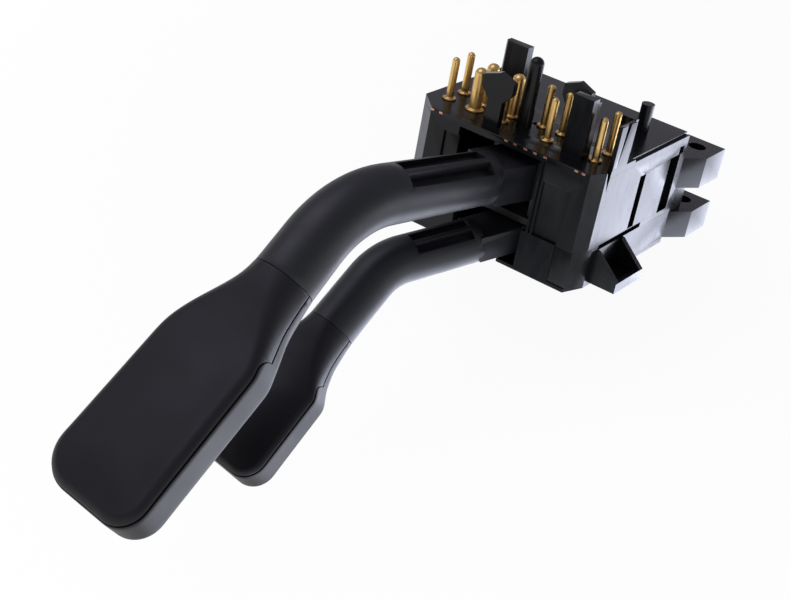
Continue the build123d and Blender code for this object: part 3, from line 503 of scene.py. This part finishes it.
# Stations along a paddle, in mm from its joint, and what holds at the first four: how far the
# outline has flared out past the neck, and half thickness and rim radii as shares of the neck's
# radius. The last station has the paddle's own outline, half thickness and rim radii.
STATIONS = (0.0, 5.0, 11.5, 18.0, 24.0)
LEFT_FLARE = (0.0, 0.2, 3.6, 7.0)
RIGHT_FLARE = (0.0, 0.2, 1.0, 2.9)
HALF_SHARES = (1.0, 0.97, 0.86, 0.76)
FRONT_SHARES = (1.0, 0.85, 0.66, 0.46)
BACK_SHARES = (1.0, 0.85, 0.66, 0.42)
# Half thickness of the flat paddle, a place past its end, and where its dome rises, in mm
HALF_THICKNESS = 6.2
PAST_END = 80.0
DOME_RISE = (10.0, 30.0)
# Where the seam steps up at the side, and over what length, in mm
STEP_START, STEP_LENGTH = 18.6, 4.0
# Rows along one side, how much they crowd towards the joint, and how far from it the second and
# third are, in mm
SIDE_ROWS, CROWDING, FIRST_ROWS = 110, 1.15, (0.12, 0.35)
# Shares of their size that the two rows next to the joint keep, which rounds the grip's end there
END_SHARES = (0.94, 0.985)
# How far the first two points of a seam edge turn in, in mm, before the lip
SEAM_TURN = (0.06, 0.3)
# Points over the front face and down the back rim, down the side, and over the back face
FACE_STEPS, SIDE_STEPS, BACK_STEPS = 9, 12, 8
# Samples of a sliding average, and of one rounded corner
EASE_STEPS, ARC_STEPS = 15, 14


def seam_frame(stalk):
    """Origin and axes (side, along, back) of the joint between arm and grip, from the arm's line."""
    line = ARM_LINES[stalk]
    inner, outer = heading(*line["way"]), heading(*line["out"])
    turn = np.arccos(inner @ outer)
    inward = outer - inner * (inner @ outer)
    inward /= np.linalg.norm(inward)
    bend = line["bend"] * (np.sin(turn) * inner + (1 - np.cos(turn)) * inward)
    origin = np.array(line["root"]) + inner * line["straight"] + bend + outer * line["tail"]
    side = np.array((1.0, 0.0, 0.0)) - outer * outer[0]
    side /= np.linalg.norm(side)
    return origin, side, outer, np.cross(side, outer)


def eased(at, places, values, width):
    """Values interpolated between places, then averaged over a sliding width, weighted by a cosine
    squared, so that no corner stays."""
    shifts = np.linspace(-0.5, 0.5, EASE_STEPS)
    weights = np.cos(np.pi * shifts) ** 2
    samples = np.interp(at[..., None] + shifts * width, places, values)
    return (samples * weights).sum(-1) / weights.sum()


def filleted(corners, radii, step):
    """Even polyline through corner points, each corner but the end ones rounded by its radius."""
    corners = [np.array(corner, float) for corner in corners]
    line = [corners[0]]
    for before, here, after, radius in zip(corners, corners[1:], corners[2:], radii):
        first = (here - before) / np.linalg.norm(here - before)
        second = (after - here) / np.linalg.norm(after - here)
        half = np.arccos(first @ second) / 2
        start = here - first * radius * np.tan(half)
        inner = second - first * (first @ second)
        centre = start + radius * inner / np.linalg.norm(inner)
        spin = np.linspace(0, 2 * half, ARC_STEPS)[:, None]
        out = start - centre
        line.extend(centre + out * np.cos(spin) + radius * first * np.sin(spin))
    line.append(corners[-1])
    line = np.array(line)
    gone = np.concatenate([[0], np.cumsum(np.linalg.norm(np.diff(line, axis=0), axis=1))])
    even = np.linspace(0, gone[-1], int(gone[-1] / step) + 1)
    return np.stack([np.interp(even, gone, line[:, i]) for i in (0, 1)], axis=-1)


class Paddle:
    """Outer surface of one grip: a round neck that flattens into a domed paddle.

    A row is one place on the outline, left side, end and right side in turn. Along a row the
    surface runs from the spine over the front face (q 0 to 1), the front rim (1 to 2), the side
    (2 to 3), the back rim (3 to 4) and the back face (4 to 5). With D the distance from spine to
    outline, r the rim radius, B half the thickness and d the dome:
    face x = q (D - r), w = -B - d (1 - q^2); rim x = D - r + r sin a, w = -(B - r + r cos a);
    side x = D; back rim as the front one, mirrored; back face w = B.
    """

    def __init__(self, stalk, sizes):
        self.joint = seam_frame(stalk)
        form = PADDLES[stalk]
        self.scale = form["scale"]
        neck = form["neck"]
        turn_in = min(form["ends"]) - sizes.fan
        side = np.linspace(0, 1, SIDE_ROWS) ** CROWDING * turn_in
        side[1:3] = FIRST_ROWS
        left = eased(side, (*STATIONS, form["ends"][0]),
                     (*(neck + flare for flare in LEFT_FLARE), *form["left"]), width=12.0)
        right = eased(side, (*STATIONS, form["ends"][1]),
                      (*(neck + flare for flare in RIGHT_FLARE), *form["right"]), width=7.0)
        first, last = (-left[-1], turn_in), (right[-1], turn_in)
        corner_left = (-form["left"][1], form["ends"][0])
        corner_right = (form["right"][1], form["ends"][1])
        end = filleted((first, corner_left, corner_right, last),
                       (sizes.left_corner, sizes.right_corner), step=0.8)[1:-1]
        middle = (right - left) / 2
        spine_side = np.stack([middle, side], axis=-1)
        self.spine = np.concatenate([spine_side, np.tile(spine_side[-1], (len(end), 1)),
                                     spine_side[::-1]])
        self.rim = np.concatenate([np.stack([-left, side], -1), end,
                                   np.stack([right, side], -1)[::-1]])
        along = self.spine[:, 1]

        def settled(shares, final):
            """Shares of the neck's radius that settle to a final size on the flat paddle."""
            values = (*(neck * share for share in shares), final, final)
            return eased(along, (*STATIONS, PAST_END), values, width=6.0)

        self.reach = np.linalg.norm(self.rim - self.spine, axis=1)
        self.half = settled(HALF_SHARES, HALF_THICKNESS)
        self.front = np.minimum(settled(FRONT_SHARES, sizes.front_rim), self.reach)
        self.back = np.minimum(settled(BACK_SHARES, sizes.back_rim), self.reach)
        self.dome = eased(along, (0.0, *DOME_RISE, PAST_END), (0.0, 0.0, sizes.dome, sizes.dome),
                          width=8.0)
        left_to_step = 1 - np.clip((self.rim[:, 1] - STEP_START) / STEP_LENGTH, 0, 1)
        self.seam = np.sqrt(1 - left_to_step ** 2) * (sizes.lid - self.half)

    def seam_row(self, gap):
        """Place q of the seam on each row, shifted to the back by a gap in mm."""
        depth = self.seam + gap
        drop = (-depth - (self.half - self.front)) / self.front
        on_rim = 1 + np.arccos(np.clip(drop, 0, 1)) * 2 / np.pi
        low, high = -(self.half - self.front), self.half - self.back
        on_side = 2 + (depth - low) / np.maximum(high - low, TINY)
        return np.where(drop > 0, on_rim, np.clip(on_side, 2, 3))

    def points(self, q, inset):
        """Grid of points at places q along each row, sunk below the surface by inset, in metres."""
        reach, half = self.reach[:, None], self.half[:, None]
        front, back, dome = self.front[:, None], self.back[:, None], self.dome[:, None]
        turn = np.clip(q - 1, 0, 1) * np.pi / 2
        turn_back = np.clip(4 - q, 0, 1) * np.pi / 2
        side = np.clip(q - 2, 0, 1)
        low, high = -(half - front), half - back
        x = np.select([q <= 1, q <= 2, q <= 3, q <= 4],
                      [q * (reach - front), reach - front + front * np.sin(turn), reach,
                       reach - back + back * np.sin(turn_back)], (5 - q) * (reach - back))
        w = np.select([q <= 1, q <= 2, q <= 3, q <= 4],
                      [-half - dome * (1 - q * q), -(half - front + front * np.cos(turn)),
                       low + (high - low) * side, half - back + back * np.cos(turn_back)], half)
        way = (self.rim - self.spine) / self.reach[:, None]
        flat = self.spine[:, None, :] + way[:, None, :] * (x - inset)[..., None]
        origin, across, along, behind = self.joint
        local = flat[..., :1] * across + flat[..., 1:] * along + w[..., None] * behind
        return (origin + self.scale * local) * MM

    def shell(self, half, gap, lip):
        """Lid or tray as a grid, its seam edge rounded and turned in by the lip."""
        ones = np.ones(len(self.reach))[:, None]
        fine = np.linspace(0, 1, SIDE_STEPS)
        backwards = -1 if half == "front" else 1
        edge = self.seam_row(backwards * gap / 2)[:, None]
        near = self.seam_row(backwards * gap)[:, None]
        turned = (*SEAM_TURN, lip)
        if half == "front":
            q = np.concatenate([ones * np.linspace(0, 1, FACE_STEPS)[:-1], 1 + fine * (near - 1),
                                edge, edge, edge], axis=1)
            inset = np.zeros_like(q)
            inset[:, -3:] = turned
        else:
            q = np.concatenate([edge, edge, edge, near + fine * (3 - near),
                                ones * np.linspace(3, 4, FACE_STEPS)[1:],
                                ones * np.linspace(4, 5, BACK_STEPS)[1:]], axis=1)
            inset = np.zeros_like(q)
            inset[:, :3] = turned[::-1]
        grid = self.points(q, inset)
        centre = self.joint[0] * MM
        for row, share in enumerate(END_SHARES):
            ends = [row, -1 - row]
            grid[ends] = centre + (grid[ends] - centre) * share
        return grid


def closed_shell(name, grid):
    """Mesh of an open grid with its doubles merged and its open edge closed behind the seam. Its
    faces point outwards."""
    mesh = grid_mesh(name, grid, close_around=False, caps=False)
    work = bmesh.new()
    work.from_mesh(mesh)
    bmesh.ops.remove_doubles(work, verts=work.verts, dist=SHELL_WELD_MM * MM)
    bmesh.ops.dissolve_degenerate(work, edges=work.edges, dist=SLIVER_MM * MM)
    bmesh.ops.holes_fill(work, edges=[edge for edge in work.edges if edge.is_boundary], sides=0)
    bmesh.ops.triangulate(work, faces=[face for face in work.faces if len(face.verts) > 4])
    bmesh.ops.recalc_face_normals(work, faces=work.faces)
    work.to_mesh(mesh)
    work.free()
    mesh.shade_smooth()
    mesh.set_sharp_from_angle(angle=radians(SHARP_DEG))
    return mesh


class SWITCH_OT_mouldings(bpy.types.Operator):
    """Dress the housing, the connector plate and the cover with moulded edges"""

    bl_idname = "switch.mouldings"
    bl_label = "Housing Mouldings"

    def execute(self, context):
        edge = context.scene.switch_finish.housing_edge
        for node in ("connector_plate", "upper_housing", "lower_housing", "bottom_cover"):
            moulded_copy(node, edge)
        return {"FINISHED"}


class SWITCH_OT_arms(bpy.types.Operator):
    """Dress the bent arms"""

    bl_idname = "switch.arms"
    bl_label = "Arms"

    def execute(self, context):
        for stalk in STALKS:
            moulded_copy(f"{stalk}_arm", context.scene.switch_finish.arm_edge,
                         smooth_deg=36.0, flat_deg=0.05)
        return {"FINISHED"}


class SWITCH_OT_grips(bpy.types.Operator):
    """Make the lid and the tray of each grip as smooth surfaces with a seam between them"""

    bl_idname = "switch.grips"
    bl_label = "Grips"

    def execute(self, context):
        sizes = context.scene.switch_grips
        for stalk in STALKS:
            paddle = Paddle(stalk, sizes)
            for half in ("front", "rear"):
                node = f"{stalk}_{half}_grip"
                grid = paddle.shell(half, sizes.seam_gap, sizes.lip)
                mesh = closed_shell(f"{node}_shell", grid)
                finish_piece(new_object(f"{node}_shell", mesh), node)
        return {"FINISHED"}


class SWITCH_OT_mechanism(bpy.types.Operator):
    """Dress the carriers, sliders, tracks, contacts, pins and plungers"""

    bl_idname = "switch.mechanism"
    bl_label = "Inner Mechanism"

    def execute(self, context):
        edge = context.scene.switch_finish.fine_edge
        moulded_copy("divider_plate", edge)
        moulded_copy("lead_frame", edge)
        for stalk in STALKS:
            for part in ("carrier", "detent_track", "contact_slider", "contact_bridges",
                         "contact_strips", "pivot_pin", "tilt_pin", "detent_plunger",
                         "return_plunger"):
                moulded_copy(f"{stalk}_{part}", edge)
        return {"FINISHED"}


class SWITCH_OT_terminals(bpy.types.Operator):
    """Make the turned terminals with their flanges and domed tips"""

    bl_idname = "switch.terminals"
    bl_label = "Terminals"

    def execute(self, context):
        sizes = context.scene.switch_terminals
        kinds = (("small_terminals", sizes.small_radius, sizes.small_flange),
                 ("large_terminals", sizes.large_radius, sizes.large_flange))
        for node, radius, flange in kinds:
            profile = terminal_profile(sizes, radius, flange)
            pins = [grid_mesh(f"{node}_{number}", revolved(profile, centre))
                    for number, centre in enumerate(island_centres(node))]
            finish_piece(joined(f"{node}_turned", pins), node)
        return {"FINISHED"}


class SWITCH_OT_springs(bpy.types.Operator):
    """Wind the coil springs behind the plungers"""

    bl_idname = "switch.springs"
    bl_label = "Coil Springs"

    def execute(self, context):
        springs = context.scene.switch_springs
        for stalk in STALKS:
            for kind in ("detent", "return"):
                node = f"{stalk}_{kind}_spring"
                start, end, radius = spring_line(node)
                wire = min(springs.wire / 2, radius * THICKEST_WIRE)
                points = coil_points(start, end, radius, wire, springs.turns)
                mesh = grid_mesh(f"{node}_coil", points)
                finish_piece(new_object(f"{node}_coil", mesh), node)
        return {"FINISHED"}


class SWITCH_OT_screws(bpy.types.Operator):
    """Dress the housing screws and the grip screws"""

    bl_idname = "switch.screws"
    bl_label = "Screws"

    def execute(self, context):
        edge = context.scene.switch_finish.fine_edge
        for node in ("housing_screws", "upper_grip_screw", "lower_grip_screw"):
            moulded_copy(node, edge)
        return {"FINISHED"}


# Place of the camera in metres and its axes, fitted to the photograph
CAMERA_AT = (0.1816, -0.3599, 0.1512)
CAMERA_RIGHT = (0.791, 0.590, 0.163)
CAMERA_UP = (-0.404, 0.302, 0.864)
CAMERA_BACK = (0.460, -0.749, 0.477)
SENSOR_MM = 36.0

# Corners and rings of the round table, its inmost ring's radius, and the place of its centre
# along y from the housing's rear bottom edge, in metres
TABLE_SIDES, TABLE_RINGS, TABLE_HOLE, TABLE_AHEAD = 96, 24, 1e-5, -0.06
# Where the shadow and the dull mirror image fade out, as shares of the table's radius
SHADOW_FADE = (0.2, 0.7)
MIRROR_FADE = (0.28, 0.45)
TABLE_COLOUR = "#f7f8fa"
# Heights on the unit sphere up to which the backdrop is white, and from which it is dim
WHITE_BELOW, DIM_ABOVE = 0.04, 0.3
SKY_TINT = "#eeeeff"
# The high soft box, in metres
HIGH_BOX = {"at": (-0.3, -0.3, 0.7), "towards": (0.0, -0.04, -0.02), "size": (0.7, 0.7),
            "tint": "#ebebff"}
# Lit parts of the table: middle and size in metres, and the setting that says how bright
LIT_TABLE = {
    "side_table": ((0.103, 0.083), (0.136, 0.124), "table_light"),
    "lug_table": ((0.0615, 0.017), (0.045, 0.026), "table_light"),
    "arm_table": ((-0.029, -0.027), (0.13, 0.058), "front_light"),
    "grip_table": ((0.0335, -0.09), (0.06, 0.098), "front_light"),
}
LIT_TINT = "#e3e8fb"
# How far above the table its lit parts lie, in metres
LIT_RISE = 0.001


def axes_matrix(right, up, back, at):
    """Matrix whose columns are three axes and a place."""
    rows = [[right[i], up[i], back[i], at[i]] for i in range(3)]
    return Matrix([*rows, [0.0, 0.0, 0.0, 1.0]])


def make_camera(stage):
    """Camera at the photograph's place and angle."""
    data = bpy.data.cameras.new("camera")
    data.lens = stage.lens
    data.sensor_width = SENSOR_MM
    camera = new_object("camera", data)
    camera.matrix_world = axes_matrix(CAMERA_RIGHT, CAMERA_UP, CAMERA_BACK, CAMERA_AT)
    bpy.context.scene.camera = camera


def resting_plane():
    """Point and normal of the plane that the object would rest on: it touches the lower grip and the
    housing's rear bottom edge."""
    grip = node_points("lower_rear_grip")
    edge = np.array([0.0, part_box("bottom_cover")[1].y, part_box("bottom_cover")[0].z])
    away = grip - edge
    slope = (away[:, 2] / -away[:, 1]).min()
    normal = np.array([0.0, slope, 1.0])
    return edge, normal / np.linalg.norm(normal)


def make_floor(stage):
    """Pale round table, parallel to the resting plane and some room below it, that fades into the
    backdrop."""
    at, normal = resting_plane()
    forward = np.cross((1.0, 0.0, 0.0), normal)
    around = np.linspace(0, 2 * np.pi, TABLE_SIDES, endpoint=False)
    rings = np.linspace(0.0, stage.floor_radius, TABLE_RINGS)
    rings[0] = TABLE_HOLE
    centre = at + forward * TABLE_AHEAD - normal * stage.room
    plan = (np.cos(around)[None, :, None] * np.array((1.0, 0.0, 0.0))
            + np.sin(around)[None, :, None] * forward)
    points = centre + rings[:, None, None] * plan
    mesh = grid_mesh("table", points, caps=False)
    floor = new_object("table", mesh)
    floor.data.materials.append(table_white(stage, centre))
    return centre, normal


def seen_directly(tree, near):
    """1 for the camera and for glass, near for mirrors, 0 for the rays that light the object."""
    path = add_node(tree, "ShaderNodeLightPath")
    mirrored = add_node(tree, "ShaderNodeMath", {"operation": "MULTIPLY"},
                        {0: path.outputs["Is Glossy Ray"], 1: near})
    total = path.outputs["Is Camera Ray"]
    for way in (path.outputs["Is Transmission Ray"], mirrored.outputs[0]):
        total = add_node(tree, "ShaderNodeMath", {"operation": "MAXIMUM"},
                         {0: total, 1: way}).outputs[0]
    return total


def table_white(stage, centre):
    """White table: it keeps a share of the object's shadow, is duller in mirrors near the object, and
    fades to plain white outwards."""
    material, tree, shader = new_material("white_laminate", linear(TABLE_COLOUR), roughness=0.6)
    output = tree.nodes["Material Output"]
    place = add_node(tree, "ShaderNodeTexCoord")
    away = add_node(tree, "ShaderNodeVectorMath", {"operation": "DISTANCE", 1: centre.tolist()},
                    {0: place.outputs["Object"]})

    def fade(shares, start):
        """Value that goes from start to 1 between two shares of the table's radius."""
        low, high = (stage.floor_radius * share for share in shares)
        ramp = add_node(tree, "ShaderNodeMapRange",
                        {"From Min": low, "From Max": high, "To Min": start, "To Max": 1.0},
                        {"Value": away.outputs["Value"]})
        return ramp.outputs["Result"]

    seen = seen_directly(tree, fade(MIRROR_FADE, stage.mirrored))
    factor = add_node(tree, "ShaderNodeMath", {"operation": "MULTIPLY"},
                      {0: fade(SHADOW_FADE, 1.0 - stage.shadow), 1: seen})
    white = add_node(tree, "ShaderNodeEmission", {"Color": (1.0, 1.0, 1.0, 1.0)})
    mix = add_node(tree, "ShaderNodeMixShader", {}, {0: factor.outputs[0]})
    tree.links.new(shader.outputs["BSDF"], mix.inputs[1])
    tree.links.new(white.outputs["Emission"], mix.inputs[2])
    tree.links.new(mix.outputs["Shader"], output.inputs["Surface"])
    return material


def make_world(stage):
    """Backdrop that is white up to just above the horizon and dims to a cool tone overhead, for
    every ray."""
    world = bpy.data.worlds.new("backdrop")
    world.use_nodes = True
    tree = world.node_tree
    tree.nodes.clear()
    way = add_node(tree, "ShaderNodeTexCoord")
    parts = add_node(tree, "ShaderNodeSeparateXYZ", {}, {0: way.outputs["Generated"]})
    ramp = add_node(tree, "ShaderNodeValToRGB", {}, {"Fac": parts.outputs["Z"]})
    low, high = ramp.color_ramp.elements
    low.position, low.color = WHITE_BELOW, (1.0, 1.0, 1.0, 1.0)
    high.position, high.color = DIM_ABOVE, (*(stage.ceiling * c for c in linear(SKY_TINT)), 1.0)
    sky = add_node(tree, "ShaderNodeBackground", {}, {"Color": ramp.outputs["Color"]})
    add_node(tree, "ShaderNodeOutputWorld", {}, {"Surface": sky.outputs[0]})
    bpy.context.scene.world = world


def area_light(name, at, towards, size, watts, tint):
    """A soft box that faces a point. The camera doesn't see it."""
    data = bpy.data.lights.new(name, "AREA")
    data.shape = "RECTANGLE"
    data.size, data.size_y = size
    data.energy = watts
    data.color = linear(tint)
    light = new_object(name, data)
    back = np.asarray(at, float) - np.asarray(towards, float)
    back /= np.linalg.norm(back)
    right = np.cross((0.0, 0.0, 1.0), back)
    if np.linalg.norm(right) < TINY:
        right = np.array((1.0, 0.0, 0.0))
    right /= np.linalg.norm(right)
    light.matrix_world = axes_matrix(right, np.cross(back, right), back, at)
    light.visible_camera = False


def make_lights(stage, centre, normal):
    """A high soft box, and the lit parts of the table that the sides mirror."""
    area_light("high_box", watts=stage.box_light, **HIGH_BOX)
    for name, (middle, size, setting) in LIT_TABLE.items():
        slope = (np.array(middle) - centre[:2]) @ normal[:2] / normal[2]
        at = np.array((*middle, centre[2] - slope)) + normal * LIT_RISE
        watts = getattr(stage, setting) * size[0] * size[1] * np.pi
        area_light(name, at, at + normal, size, watts, LIT_TINT)


class SWITCH_OT_stage(bpy.types.Operator):
    """Set up the table, the backdrop, the lights and the camera"""

    bl_idname = "switch.stage"
    bl_label = "Stage"

    def execute(self, context):
        stage = context.scene.switch_stage
        make_camera(stage)
        centre, normal = make_floor(stage)
        make_world(stage)
        make_lights(stage, centre, normal)
        context.scene.view_settings.view_transform = "Standard"
        return {"FINISHED"}


OPERATORS = (SWITCH_OT_mouldings, SWITCH_OT_arms, SWITCH_OT_grips, SWITCH_OT_mechanism,
             SWITCH_OT_terminals, SWITCH_OT_springs, SWITCH_OT_screws, SWITCH_OT_stage)
PROPERTIES = {"switch_finish": FinishProperties, "switch_terminals": TerminalProperties,
              "switch_grips": GripProperties, "switch_springs": SpringProperties,
              "switch_stage": StageProperties}


class SWITCH_PT_panel(bpy.types.Panel):
    """Steps and settings of the stalk switch"""

    bl_label = "Stalk Switch"
    bl_idname = "SWITCH_PT_panel"
    bl_space_type = "VIEW_3D"
    bl_region_type = "UI"
    bl_category = "Stalk Switch"

    def draw(self, context):
        for operator in OPERATORS:
            self.layout.operator(operator.bl_idname)
        for name in PROPERTIES:
            box = self.layout.box()
            group = getattr(context.scene, name)
            for key in group.__annotations__:
                box.prop(group, key)


def register():
    """Register the settings, the operators and the panel."""
    for name, group in PROPERTIES.items():
        bpy.utils.register_class(group)
        setattr(bpy.types.Scene, name, PointerProperty(type=group))
    for operator in OPERATORS:
        bpy.utils.register_class(operator)
    bpy.utils.register_class(SWITCH_PT_panel)


def unregister():
    """Take everything out again, in the opposite order."""
    bpy.utils.unregister_class(SWITCH_PT_panel)
    for operator in reversed(OPERATORS):
        bpy.utils.unregister_class(operator)
    for name, group in reversed(PROPERTIES.items()):
        delattr(bpy.types.Scene, name)
        bpy.utils.unregister_class(group)


def main():
    """Build the looks step by step."""
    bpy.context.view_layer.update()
    register()
    for operator in OPERATORS:
        group, name = operator.bl_idname.split(".")
        getattr(getattr(bpy.ops, group), name)()


if __name__ == "__main__":
    main()
